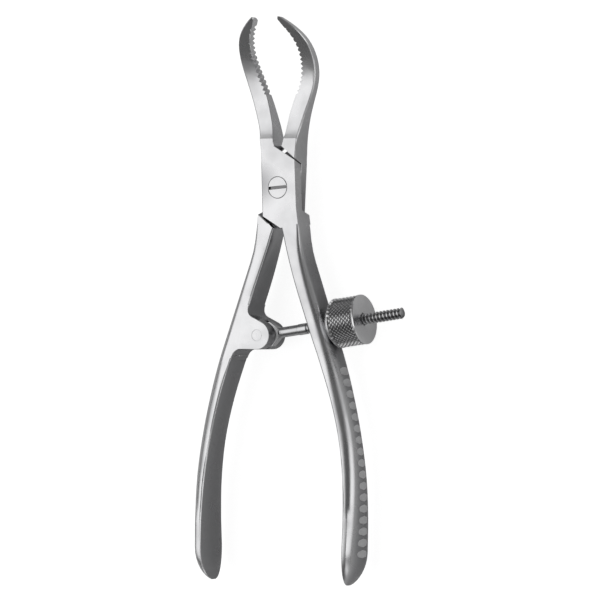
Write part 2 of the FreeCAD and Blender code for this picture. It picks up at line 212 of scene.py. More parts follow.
def spun(name: str, profile: list[tuple[float, float]], steps: int) -> Object:
    """Spins a profile about the X axis into a closed mesh.

    Args:
        name: The piece's name.
        profile: Distance along X and radius of each point.
        steps: How many faces go round.

    Returns:
        The object.
    """
    piece = add_line(name, [(x, radius, 0.0) for x, radius in profile])
    edit_all(piece)
    bpy.ops.mesh.spin(
        steps=steps, angle=2 * math.pi, center=(0, 0, 0), axis=(1, 0, 0), use_auto_merge=True
    )
    end_edit()
    fix_normals(piece)
    return piece


def mark_recess(piece: Object, depths: list[float]) -> None:
    """Writes for each vertex how deep in a recess it lies, 0 on the surface to 1 in the depth, by
    which the finishes paint shade.
    """
    layer = piece.data.attributes.new(RECESS, "FLOAT", "POINT")
    layer.data.foreach_set("value", depths)


class Nodes:
    """Short ways to add and join shader nodes in one tree."""

    def __init__(self, tree: NodeTree) -> None:
        """Keeps the tree."""
        self.tree = tree

    def add(self, kind: str, **settings: object) -> Node:
        """Adds a node and sets its properties.

        Args:
            kind: The node's type name.
            **settings: Its properties.

        Returns:
            The node.
        """
        node = self.tree.nodes.new(kind)
        for name, value in settings.items():
            setattr(node, name, value)
        return node

    def give(self, target: NodeSocket, value: Input) -> None:
        """Links an output to an input, or sets the input to a value."""
        if isinstance(value, NodeSocket):
            self.tree.links.new(value, target)
        else:
            target.default_value = value

    def feed(self, node: Node, **inputs: Input) -> Node:
        """Sets or links inputs by name, with underscores for spaces.

        Args:
            node: The node.
            **inputs: A value or an output for each input.

        Returns:
            The node.
        """
        for name, value in inputs.items():
            self.give(node.inputs[name.replace("_", " ")], value)
        return node

    def math(
        self, operation: str, first: Input, second: Input = 0.0, third: Input = 0.0
    ) -> NodeSocket:
        """Adds a Math node.

        Args:
            operation: What it does.
            first: Its first number.
            second: Its second number, if any.
            third: Its third number, if any.

        Returns:
            The result's output.
        """
        node = self.add("ShaderNodeMath", operation=operation)
        for socket, value in zip(node.inputs, (first, second, third)):
            self.give(socket, value)
        return node.outputs[0]

    def vector_math(self, operation: str, first: Input, second: Input) -> Node:
        """Adds a Vector Math node.

        Args:
            operation: What it does.
            first: Its first vector.
            second: Its second vector.

        Returns:
            The node, which gives a vector or a number.
        """
        node = self.add("ShaderNodeVectorMath", operation=operation)
        self.give(node.inputs[0], first)
        self.give(node.inputs[1], second)
        return node

    def split(self, vector: NodeSocket) -> bpy.types.NodeOutputs:
        """Adds a Separate XYZ node and gives its outputs."""
        return self.feed(self.add("ShaderNodeSeparateXYZ"), Vector=vector).outputs

    def noise(
        self, vector: NodeSocket, scale: Input, detail: float, roughness: float
    ) -> NodeSocket:
        """Adds a Noise Texture.

        Args:
            vector: The output with the place.
            scale: How fine the noise is.
            detail: How many finer layers are laid on it.
            roughness: How strong the finer layers are.

        Returns:
            The output with its factor.
        """
        node = self.add("ShaderNodeTexNoise")
        self.feed(node, Vector=vector, Scale=scale, Detail=detail, Roughness=roughness)
        return node.outputs["Fac"]

    def remap(
        self, value: NodeSocket, low: float, high: float, to_low: float, to_high: float
    ) -> NodeSocket:
        """Adds a smooth Map Range node.

        Args:
            value: The output with the number.
            low: The number at the low end.
            high: The number at the high end.
            to_low: The result at the low end.
            to_high: The result at the high end.

        Returns:
            The result's output.
        """
        node = self.add("ShaderNodeMapRange", interpolation_type="SMOOTHSTEP")
        self.feed(node, Value=value, From_Min=low, From_Max=high, To_Min=to_low, To_Max=to_high)
        return node.outputs["Result"]

    def mix(self, factor: Input, first: Input, second: Input) -> NodeSocket:
        """Adds a Mix node for colours.

        Args:
            factor: 0 for the first colour to 1 for the second.
            first: The first colour.
            second: The second colour.

        Returns:
            The output with the mixed colour.
        """
        node = self.add("ShaderNodeMix", data_type="RGBA")
        self.give(node.inputs["Factor"], factor)
        colours = [socket for socket in node.inputs if socket.type == "RGBA"]
        self.give(colours[0], first)
        self.give(colours[1], second)
        return next(socket for socket in node.outputs if socket.type == "RGBA")

    def mark(self, name: str) -> NodeSocket:
        """Reads a number written on the mesh, which is 0 where a mesh hasn't got it."""
        node = self.add("ShaderNodeAttribute", attribute_type="GEOMETRY", attribute_name=name)
        return node.outputs["Fac"]


def new_group(name: str, inputs: dict[str, float], outputs: tuple[str, ...]) -> NodeTree:
    """Makes an empty shader node group that reads a vector and some numbers.

    Args:
        name: The group's name.
        inputs: Each number input and its usual value.
        outputs: The names of the number outputs.

    Returns:
        The group's tree, with its input and output nodes in it.
    """
    tree = bpy.data.node_groups.new(name, "ShaderNodeTree")
    tree.interface.new_socket("Vector", in_out="INPUT", socket_type="NodeSocketVector")
    for label, value in inputs.items():
        socket = tree.interface.new_socket(label, in_out="INPUT", socket_type="NodeSocketFloat")
        socket.default_value = value
    for label in outputs:
        tree.interface.new_socket(label, in_out="OUTPUT", socket_type="NodeSocketFloat")
    tree.nodes.new("NodeGroupInput")
    tree.nodes.new("NodeGroupOutput")
    return tree


@dataclass(frozen=True)
class Grain:
    """The fine lines that polishing leaves, with smudges from handling.

    Attributes:
        smudge_low: The noise at which a smudge begins.
        smudge_high: The noise at which it is full.
    """

    fineness: float = 2600.0
    stretch: float = 0.05
    detail: float = 3.0
    line_roughness: float = 0.6
    smudge_scale: float = 70.0
    smudge_roughness: float = 0.55
    smudge_low: float = 0.35
    smudge_high: float = 0.75

    def build(self) -> NodeTree:
        """Makes the node group.

        Returns:
            The group: Vector, Fineness and Stretch in, Lines and Smudges out.
        """
        usual = {"Fineness": self.fineness, "Stretch": self.stretch}
        tree = new_group("polish_grain", usual, ("Lines", "Smudges"))
        kit = Nodes(tree)
        source = tree.nodes["Group Input"].outputs
        squeeze = kit.add("ShaderNodeCombineXYZ")
        kit.feed(squeeze, X=1.0, Y=source["Stretch"], Z=1.0)
        drawn = kit.vector_math("MULTIPLY", source["Vector"], squeeze.outputs[0]).outputs[0]
        lines = kit.noise(drawn, source["Fineness"], self.detail, self.line_roughness)
        blots = kit.noise(source["Vector"], self.smudge_scale, self.detail, self.smudge_roughness)
        smudges = kit.remap(blots, self.smudge_low, self.smudge_high, 0.0, 1.0)
        kit.feed(tree.nodes["Group Output"], Lines=lines, Smudges=smudges)
        return tree


@dataclass(frozen=True)
class SteelFinish:
    """One finish of the stainless steel.

    Attributes:
        bright: The colour where the face is polished.
        dull: The colour where the face is ground dull, and towards which shade is painted on the
            handles' sides and the joint's patch.
        spread: How much the smudges change the roughness.
        smudge_share: How much they dull the colour.
        fineness: How many polishing lines there are to the metre.
        stretch: How much the lines are drawn out along the instrument.
        side_shade: How much shade is painted on the handles' sides, by which way they face, darker
            than on their faces.
        side_low: How upright a normal is where a side has its full shade.
        side_high: How upright it is where the shade ends.
        handle_top: Where the painted shade on the sides begins, along the instrument.
        handle_full: Where they have their full shade.
        recess_shade: How much of the painted shade's colour lies in the depth of a groove or gap.
        pad_matt: How much less the ground pads of the grip mirror their surroundings.
        shade_patch_strength: How dark the painted patch of shade on the joint is at its middle.
    """

    name: str
    bright: tuple[float, float, float]
    dull: tuple[float, float, float]
    # The colour of the shade painted into hollows, gaps and grooves.
    shade_colour: tuple[float, float, float] = (0.035, 0.035, 0.036)
    roughness: float = 0.24
    spread: float = 0.1
    smudge_share: float = 0.22
    fineness: float = 2600.0
    stretch: float = 0.05
    relief: float = 0.06
    relief_height: float = 0.02 * MM
    side_shade: float = 0.0
    side_low: float = 0.1
    side_high: float = 0.75
    handle_top: float = -8.0 * MM
    handle_full: float = -30.0 * MM
    recess_shade: float = 0.85
    pad_roughness: float = 0.3
    pad_matt: float = 0.9
    # A round patch of painted shade on the joint's face, darkest at its middle.
    shade_patch_strength: float = 0.0
    shade_patch_place: tuple[float, float, float] = (-7.5 * MM, 1.5 * MM, 9.0 * MM)
    shade_patch_reach: float = 11.0 * MM

    def build(self, grain: NodeTree) -> Material:
        """Makes the material.

        Args:
            grain: The shared grain group.

        Returns:
            The material.
        """
        material = bpy.data.materials.new(self.name)
        material.use_nodes = True
        tree = material.node_tree
        kit = Nodes(tree)
        coords = kit.add("ShaderNodeTexCoord").outputs
        place = coords["Object"]
        marks = kit.add("ShaderNodeGroup", node_tree=grain)
        kit.feed(marks, Vector=place, Fineness=self.fineness, Stretch=self.stretch)
        smudges = marks.outputs["Smudges"]
        ground = kit.mark(PAD)
        dull = kit.math("MULTIPLY", smudges, self.smudge_share)
        # Painted shade on the handles' sides and on a round patch of the joint, laid over the
        # smudges.
        if self.side_shade:
            dull = self.paint_shade(kit, dull, place, coords["Normal"], ground)
        tone = kit.mix(dull, (*self.bright, 1.0), (*self.dull, 1.0))
        # Painted shade: hollows, gaps and grooves are darkened towards the shade colour by how shut
        # in they are.
        depth = kit.math("MULTIPLY", kit.mark(RECESS), self.recess_shade)
        tone = kit.mix(depth, tone, (*self.shade_colour, 1.0))
        rough = kit.math("MULTIPLY_ADD", smudges, self.spread, self.roughness)
        rough = kit.math("MULTIPLY_ADD", ground, self.pad_roughness, rough)
        metal = kit.math("MULTIPLY_ADD", ground, -self.pad_matt, 1.0)
        bump = kit.add("ShaderNodeBump")
        kit.feed(
            bump, Strength=self.relief, Distance=self.relief_height, Height=marks.outputs["Lines"]
        )
        shader = tree.nodes["Principled BSDF"]
        kit.feed(shader, Base_Color=tone, Roughness=rough, Metallic=metal, Normal=bump.outputs[0])
        return material

    def paint_shade(
        self,
        kit: Nodes,
        smudged: NodeSocket,
        place: NodeSocket,
        normal: NodeSocket,
        ground: NodeSocket,
    ) -> NodeSocket:
        """Darkens the handles' sides and a round patch on the joint with painted shade, but not the
        ground pads.

        Args:
            kit: The material's nodes.
            smudged: The output with the smudges' dullness.
            place: The output with the point's own place.
            normal: The output with the surface's own normal.
            ground: The output that says whether the point lies on a pad.

        Returns:
            The output with the dullness.
        """
        # Painted shade on the sides, by how upright the surface's normal is, on the handles only.
        upright = kit.math("ABSOLUTE", kit.split(normal)["Z"])
        side = kit.remap(upright, self.side_low, self.side_high, self.side_shade, 0.0)
        along = kit.split(place)["Y"]
        handle = kit.remap(along, self.handle_full, self.handle_top, 1.0, 0.0)
        side = kit.math("MULTIPLY", side, handle)
        # The round patch of painted shade on the joint.
        distance = kit.vector_math("DISTANCE", place, self.shade_patch_place).outputs["Value"]
        shade_patch = kit.remap(distance, 0.0, self.shade_patch_reach, self.shade_patch_strength, 0.0)
        dull = kit.math("MAXIMUM", smudged, kit.math("MAXIMUM", shade_patch, side))
        return kit.math("MULTIPLY", dull, kit.math("SUBTRACT", 1.0, ground))


@dataclass
class Finishes:
    """Every finish of the instrument, made once.

    Attributes:
        made: The material of each slot.
    """

    made: dict[Slot, Material] = field(default_factory=dict)

    def build(self) -> None:
        """Makes the materials from one shared grain group."""
        table = {
            # The levers get painted shade on their handles' sides and in a patch on the joint.
            Slot.LEVER: SteelFinish(
                "satin_steel", (0.8, 0.8, 0.81), (0.34, 0.34, 0.35),
                side_shade=0.88, shade_patch_strength=0.8,
            ),
            Slot.SCREW: SteelFinish(
                "ground_steel", (0.76, 0.76, 0.77), (0.4, 0.4, 0.41),
                roughness=0.22, spread=0.08, fineness=3200.0,
            ),
            Slot.SPINDLE: SteelFinish(
                "turned_steel", (0.74, 0.74, 0.75), (0.38, 0.38, 0.39),
                roughness=0.2, spread=0.06, fineness=2400.0, stretch=1.0,
            ),
            # The nut's knurl grooves carry painted shade, lighter than on the other parts.
            Slot.NUT: SteelFinish(
                "knurled_steel", (0.9, 0.9, 0.91), (0.4, 0.4, 0.41),
                roughness=0.2, spread=0.08, fineness=2400.0, stretch=1.0, recess_shade=0.62,
            ),
        }
        grain = Grain().build()
        for slot, finish in table.items():
            self.made[slot] = finish.build(grain)

    def dress(self, piece: Object, slot: Slot) -> None:
        """Gives a piece one finish all over.

        Args:
            piece: The object.
            slot: The record's slot.
        """
        piece.data.materials.clear()
        piece.data.materials.append(self.made[slot])


@dataclass
class RecessFinder:
    """Finds how shut in each vertex is, by looking round from it past the pieces, for shade painted
    into hollows and gaps.

    Attributes:
        pieces: The pieces that may stand in the way.
        reach: How far a look goes.
        start: How far off the surface a look starts.
        rays: How many looks there are.
        open_share: The share of looks that may be met in the open.
        solids: The pieces' faces, sorted by place.
    """

    pieces: list[Object]
    reach: float = 2.2 * MM
    start: float = 0.06 * MM
    rays: int = 40
    open_share: float = 0.12
    solids: BVHTree = field(init=False)

    def __post_init__(self) -> None:
        """Gathers the pieces' faces."""
        points: list[Vector] = []
        faces: list[list[int]] = []
        for piece in self.pieces:
            first = len(points)
            points += [piece.matrix_world @ vert.co for vert in piece.data.vertices]
            faces += [[first + k for k in face.vertices] for face in piece.data.polygons]
        self.solids = BVHTree.FromPolygons(points, faces)

    def shut_in(self, place: Vector, normal: Vector) -> float:
        """How shut in a place is, by the share of looks that meet steel nearby.

        Args:
            place: The place.
            normal: The surface's normal there.

        Returns:
            0 in the open to 1 when shut in.
        """
        turn = normal.to_track_quat("Z", "Y")
        met = 0
        for k in range(self.rays):
            height = math.sqrt((k + 0.5) / self.rays)
            spread = math.sqrt(1.0 - height * height)
            angle = GOLDEN_ANGLE * k
            look = turn @ Vector((spread * math.cos(angle), spread * math.sin(angle), height))
            hit = self.solids.ray_cast(place + normal * self.start, look, self.reach)[0]
            met += hit is not None
        share = met / self.rays
        return min(1.0, max(0.0, (share - self.open_share) / (1.0 - self.open_share)))

    def mark(self, piece: Object) -> None:
        """Writes each vertex's value on a piece."""
        mark_recess(piece, [self.shut_in(vert.co, vert.normal) for vert in piece.data.vertices])


@dataclass(frozen=True)
class CarriedPart:
    """A frame node that keeps its shape: its body, its slot and its edge break's width."""

    node: str
    body: str
    slot: Slot
    width: float


def room_at(vert: bmesh.types.BMVert) -> float:
    """How much room a chamfer has at a corner: its shortest edge or narrowest face."""
    shortest = min(edge.calc_length() for edge in vert.link_edges)
    for face in vert.link_faces:
        longest = max(edge.calc_length() for edge in face.edges)
        shortest = min(shortest, face.calc_area() / longest)
    return shortest


@dataclass
class CarriedPieces:
    """The levers, the screw, the pin and the washer, whose shapes come from the frame.

    Attributes:
        edge_break: How wide the levers' sharp edges are broken.
        fine_break: How wide those of the small parts are.
        crowding: The share of a corner's room that a chamfer may take.
        least_room: The room that a corner needs to be broken at all.
        join_reach: How near two corners may lie before they are joined.
        sharp: The turn, in degrees, from which an edge is broken.
        square: The turn from which it is broken in full.
        chamfer_share: The share of the width that the edges between have.
        crease: Where the jaws' crease lies, along the instrument.
        flat_zone_foot: Where the flat joint ends, along the instrument.
        pad_lean: How far a pad's normal may lean out of the level.
        pad_hollow: The least hollow turn at a pad's end, in radians.
        fork_face: How far above and below the middle the fork's faces begin.
    """

    finishes: Finishes
    edge_break: float = 0.2 * MM
    fine_break: float = 0.05 * MM
    crowding: float = 0.4
    least_room: float = 0.15 * MM
    same_place: float = 0.001 * MM
    join_reach: float = 0.05 * MM
    flat_angle: float = 0.6
    sharp: float = 38.0
    square: float = 60.0
    chamfer_share: float = 0.5
    smooth_angle: float = 25.0
    crease: float = 17.3 * MM
    crease_reach: float = 0.3 * MM
    crease_low: float = 7.0 * MM
    flat_zone_foot: float = -15.5 * MM
    grip_top: float = -62.5 * MM
    pad_lean: float = 0.02
    pad_hollow: float = 0.001
    fork_top: float = -41.0 * MM
    fork_foot: float = -64.0 * MM
    mid_height: float = 4.5 * MM
    fork_face: float = 5.8 * MM
    face_weight: int = 90

    def copy_node(self, node: str) -> Object:
        """Copies a frame node's mesh into a new object, with its triangles joined."""
        piece = add_piece(node + "_dressed", frame["nodes"][node].data.copy())
        if piece.data.has_custom_normals:
            bpy.ops.mesh.customdata_custom_splitnormals_clear()
        edit_all(piece)
        bpy.ops.mesh.remove_doubles(threshold=self.same_place)
        bpy.ops.mesh.dissolve_limited(angle_limit=math.radians(self.flat_angle))
        bpy.ops.mesh.remove_doubles(threshold=self.join_reach)
        end_edit()
        return piece

    def mark_pads(self, shape: bmesh.types.BMesh) -> None:
        """Marks the ground scoops of the finger grip: upright faces with a hollow edge."""
        pads = shape.faces.layers.float.new(PAD)
        for face in shape.faces:
            middle = face.calc_center_median()
            outside = middle.x * face.normal.x > 0.0
            level = abs(face.normal.z) <= self.pad_lean
            if middle.y > self.grip_top or not level or not outside:
                continue
            for edge in face.edges:
                run = edge.verts[1].co - edge.verts[0].co
                hollow = edge.is_manifold and edge.calc_face_angle_signed() < -self.pad_hollow
                if hollow and abs(run.z) > POINTING * run.length:
                    face[pads] = 1.0

    def break_edges(self, piece: Object, width: float) -> None:
        """Chamfers the sharp edges, more finely where the facets are small.

        Args:
            piece: The object.
            width: The chamfer's full width.
        """
        shape = bmesh.new()
        shape.from_mesh(piece.data)
        self.mark_pads(shape)
        weights = shape.edges.layers.float.new("bevel_weight_edge")
        for edge in shape.edges:
            turn = math.degrees(edge.calc_face_angle_signed(0.0))
            room = min(room_at(vert) for vert in edge.verts)
            if turn > self.sharp and room > self.least_room:
                share = 1.0 if turn > self.square else self.chamfer_share
                edge[weights] = min(share, self.crowding * room / width)
        shape.to_mesh(piece.data)
        shape.free()
        choose(piece)
        bevel = piece.modifiers.new("edge_break", "BEVEL")
        bevel.width = width
        bevel.segments = 1
        bevel.limit_method = "WEIGHT"
        bevel.use_clamp_overlap = False
        bpy.ops.object.modifier_apply(modifier=bevel.name)

    def sharpen_crease(self, piece: Object) -> None:
        """Keeps the crease between the flat joint and the hollow jaw crisp."""
        verts = piece.data.vertices

        def on_crease(edge: MeshEdge) -> bool:
            """Whether both ends of an edge lie on the crease."""
            ends = [verts[k].co for k in edge.vertices]
            near = all(abs(co.y - self.crease) < self.crease_reach for co in ends)
            return near and all(co.z > self.crease_low for co in ends)

        select_part(piece, "EDGE", on_crease)
        bpy.ops.mesh.mark_sharp()
        end_edit()

    def on_fork(self, place: Vector) -> bool:
        """Whether a place lies on a flat face of the fork, or on the crest beside it."""
        beside = place.x < 0.0 and self.fork_foot < place.y < self.fork_top
        return beside and abs(place.z - self.mid_height) > self.fork_face

    def soften_fork(self, piece: Object) -> None:
        """Lets the fork's faces run into the handle without a line."""
        verts = piece.data.vertices

        def fork_edge(edge: MeshEdge) -> bool:
            """Whether both ends of an edge lie on the fork's faces."""
            return all(self.on_fork(verts[k].co) for k in edge.vertices)

        select_part(piece, "EDGE", fork_edge)
        bpy.ops.mesh.mark_sharp(clear=True)
        end_edit()

    def flatten_faces(self, piece: Object) -> None:
        """Lets the large flat faces of the joint and of the fork keep their own normals."""
        zone = piece.vertex_groups.new(name="flat_faces")
        for vert in piece.data.vertices:
            if vert.co.y > self.flat_zone_foot or self.on_fork(vert.co):
                zone.add([vert.index], 1.0, "REPLACE")
        choose(piece)
        weighted = piece.modifiers.new("flat_faces", "WEIGHTED_NORMAL")
        weighted.mode = "FACE_AREA"
        weighted.weight = self.face_weight
        weighted.keep_sharp = True
        weighted.vertex_group = zone.name
        bpy.ops.object.modifier_apply(modifier=weighted.name)

    def build(self) -> None:
        """Dresses each node as a bevelled, smoothly shaded copy."""
        plan = (
            CarriedPart("rear_lever", "rear_lever", Slot.LEVER, self.edge_break),
            CarriedPart("front_lever", "front_lever", Slot.LEVER, self.edge_break),
            CarriedPart("joint_screw", "rear_lever", Slot.SCREW, self.fine_break),
            CarriedPart("swivel_pin", "rear_lever", Slot.LEVER, self.fine_break),
            CarriedPart("thrust_washer", "thrust_washer", Slot.SPINDLE, self.fine_break),
        )
        pieces = [self.copy_node(part.node) for part in plan]
        for piece, part in zip(pieces, plan):
            self.break_edges(piece, part.width)
        neighbours = [frame["nodes"][name] for name in ("spindle", "knurled_nut")]
        recesses = RecessFinder(pieces + neighbours)
        for piece, part in zip(pieces, plan):
            # Painted shade: how shut in each vertex is darkens its colour in hollows, gaps and the
            # lap's shoulders.
            recesses.mark(piece)
            self.sharpen_crease(piece)
            smooth(piece, self.smooth_angle)
            self.soften_fork(piece)
            self.flatten_faces(piece)
            self.finishes.dress(piece, part.slot)
            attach(piece, part.body)
            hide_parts(part.node)
            log.info("%s: %d faces", piece.name, len(piece.data.polygons))


@dataclass
class SpindleLine:
    """Where the spindle lies.

    Attributes:
        pin: The middle of the pin that it swivels on.
        tilt: Its angle in the plane of the handles, in radians.
    """

    pin: Vector
    tilt: float

    def lay(self, piece: Object) -> None:
        """Moves a piece drawn along +X from the pin onto the line."""
        piece.matrix_world = Matrix.Translation(self.pin) @ Matrix.Rotation(self.tilt, 4, "Z")
        settle(piece)


def read_spindle_line() -> SpindleLine:
    """Reads the spindle's line from the frame's joints.

    Returns:
        The line.
    """
    joints = {joint["name"]: joint for joint in frame["joints"]}
    pin = Vector(joints["spindle_swivel"]["pos_m"])
    axis = joints["nut_travel"]["axis"]
    return SpindleLine(pin, math.atan2(axis[1], axis[0]))


@dataclass
class Spindle:
    """The spindle: flat tongue, smooth neck, low collar and threaded rod.

    Distances along it are taken from the pin.

    Attributes:
        rod_tip: The radius of the rod's end inside the tongue.
        collar_length: How far before the thread the collar begins.
        run_out: How far the collar slopes down into the thread.
        run_end: Where the neck ends, inside the thread.
        crest_share: The crest's share of the pitch.
        flank_share: The share of both flanks.
        root_share: The share at which the root is deepest.
        root_rise: How far the root's edges rise above its middle.
        flank_foot: How far the first flank's foot rises above it.
        crest_round: How far the crest's edges lie below its top.
        spare_turns: How many turns are drawn past the rod's ends and cut off.
    """

    finishes: Finishes
    line: SpindleLine
    tongue_half: float = 1.3 * MM
    tongue_radius: float = 4.4 * MM
    tongue_bevel: float = 0.22 * MM
    tongue_sharp: float = 40.0
    shoulder: float = 3.2 * MM
    taper_end: float = 6.4 * MM
    arc_steps: int = 36
    rod_radius: float = 1.85 * MM
    rod_start: float = 5.2 * MM
    rod_tip: float = 0.7 * MM
    rod_taper: float = 1.6 * MM
    collar_length: float = 3.4 * MM
    collar_edge: float = 0.15 * MM
    thread_start: float = 17.6 * MM
    thread_radius: float = 1.99 * MM
    root_radius: float = 1.5 * MM
    run_out: float = 0.5 * MM
    run_end: float = 0.9 * MM
    pitch: float = 1.4 * MM
    crest_share: float = 0.3
    flank_share: float = 0.24
    root_share: float = 0.08
    root_rise: float = 0.05 * MM
    flank_foot: float = 0.02 * MM
    crest_round: float = 0.06 * MM
    thread_steps: int = 24
    spare_turns: int = 3
    joined: float = 0.004 * MM
    cut_reach: float = 0.0001 * MM
    length: float = 56.19 * MM
    round_steps: int = 64
    smooth_angle: float = 35.0
    thread_angle: float = 40.0

    def tongue(self) -> Object:
        """Models the flat tongue, cut to its outline and drawn up to its thickness.

        Returns:
            The object, drawn along +X from the pin.
        """
        outline = [
            (self.shoulder, self.tongue_radius),
            (self.taper_end, self.rod_radius),
            (self.taper_end, -self.rod_radius),
            (self.shoulder, -self.tongue_radius),
        ]
        for k in range(self.arc_steps + 1):
            angle = -math.pi / 2 - math.pi * k / self.arc_steps
            across, aside = math.cos(angle), math.sin(angle)
            outline.append((self.tongue_radius * across, self.tongue_radius * aside))
        mesh = bpy.data.meshes.new("spindle_tongue")
        points = [(x, y, -self.tongue_half) for x, y in outline]
        mesh.from_pydata(points, [], [list(range(len(points)))])
        piece = add_piece("spindle_tongue", mesh)
        edit_all(piece)
        extrude(2 * self.tongue_half)
        end_edit()
        fix_normals(piece)
        add_bevel(piece, self.tongue_bevel, self.tongue_sharp)
        return piece

    def neck(self) -> Object:
        """Models the smooth neck and its collar, spun about the spindle's own line.

        Returns:
            The object, drawn along +X from the pin.
        """
        collar = self.thread_start - self.collar_length
        profile = [
            (self.rod_start, 0.0),
            (self.rod_start, self.rod_tip),
            (self.rod_start + self.rod_taper, self.rod_radius),
            (collar, self.rod_radius),
            (collar + self.collar_edge, self.thread_radius),
            (self.thread_start, self.thread_radius),
            (self.thread_start + self.run_out, self.root_radius),
            (self.thread_start + self.run_end, 0.0),
        ]
        return spun("spindle_neck", profile, self.round_steps)

    def thread_profile(self) -> tuple[tuple[float, float], ...]:
        """One pitch of the thread.

        Returns:
            The place, as a share of the pitch, and the radius of each point.
        """
        rise = 0.5 - self.crest_share / 2
        fall = 0.5 + self.crest_share / 2
        crest_edge = self.thread_radius - self.crest_round
        root_edge = self.root_radius + self.root_rise
        return (
            (0.0, root_edge),
            (self.root_share, self.root_radius),
            (rise - self.flank_share / 2, self.root_radius + self.flank_foot),
            (rise, crest_edge),
            (0.5, self.thread_radius),
            (fall, crest_edge),
            (fall + self.flank_share / 2, root_edge),
            (1.0, root_edge),
        )

    def thread(self) -> Object:
        """Models the right-hand thread with the Screw modifier, cut square at both ends.

        Returns:
            The object, drawn along +X from the pin.
        """
        first = self.thread_start - self.run_out - self.pitch
        profile = [
            (radius, 0.0, first + share * self.pitch) for share, radius in self.thread_profile()
        ]
        piece = add_line("spindle_thread", profile)
        screw = piece.modifiers.new("helix", "SCREW")
        screw.axis = "Z"
        screw.angle = 2 * math.pi
        screw.screw_offset = self.pitch
        screw.iterations = int((self.length - self.thread_start) / self.pitch) + self.spare_turns
        screw.steps = self.thread_steps
        screw.render_steps = self.thread_steps
        screw.use_merge_vertices = True
        screw.merge_threshold = self.joined
        bpy.ops.object.modifier_apply(modifier=screw.name)
        edit_all(piece)
        bpy.ops.mesh.remove_doubles(threshold=self.joined)
        for height, side in ((self.thread_start, -1), (self.length, 1)):
            bpy.ops.mesh.select_all(action="SELECT")
            bpy.ops.mesh.bisect(
                plane_co=(0, 0, height),
                plane_no=(0, 0, side),
                use_fill=True,
                clear_outer=True,
                threshold=self.cut_reach,
            )
        end_edit()
        piece.rotation_euler = (0.0, math.pi / 2, 0.0)
        settle(piece)
        fix_normals(piece)
        # The thread's roots get painted shade by how deep they lie.
        mark_recess(piece, [self.groove(vert.co) for vert in piece.data.vertices])
        return piece

    def groove(self, place: Vector) -> float:
        """How deep in the thread a place lies, 0 to 1, before the spindle is laid; the finish
        paints shade at the root by it.
        """
        sunk = self.thread_radius - math.hypot(place.y, place.z)
        return min(1.0, max(0.0, sunk / (self.thread_radius - self.root_radius)))

    def build(self) -> None:
        """Models and dresses the spindle's pieces."""
        angles = (self.smooth_angle, self.smooth_angle, self.thread_angle)
        for piece, angle in zip((self.tongue(), self.neck(), self.thread()), angles):
            self.line.lay(piece)
            smooth(piece, angle)
            self.finishes.dress(piece, Slot.SPINDLE)
            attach(piece, "spindle")
            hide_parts("spindle")
            log.info("%s: %d faces", piece.name, len(piece.data.polygons))


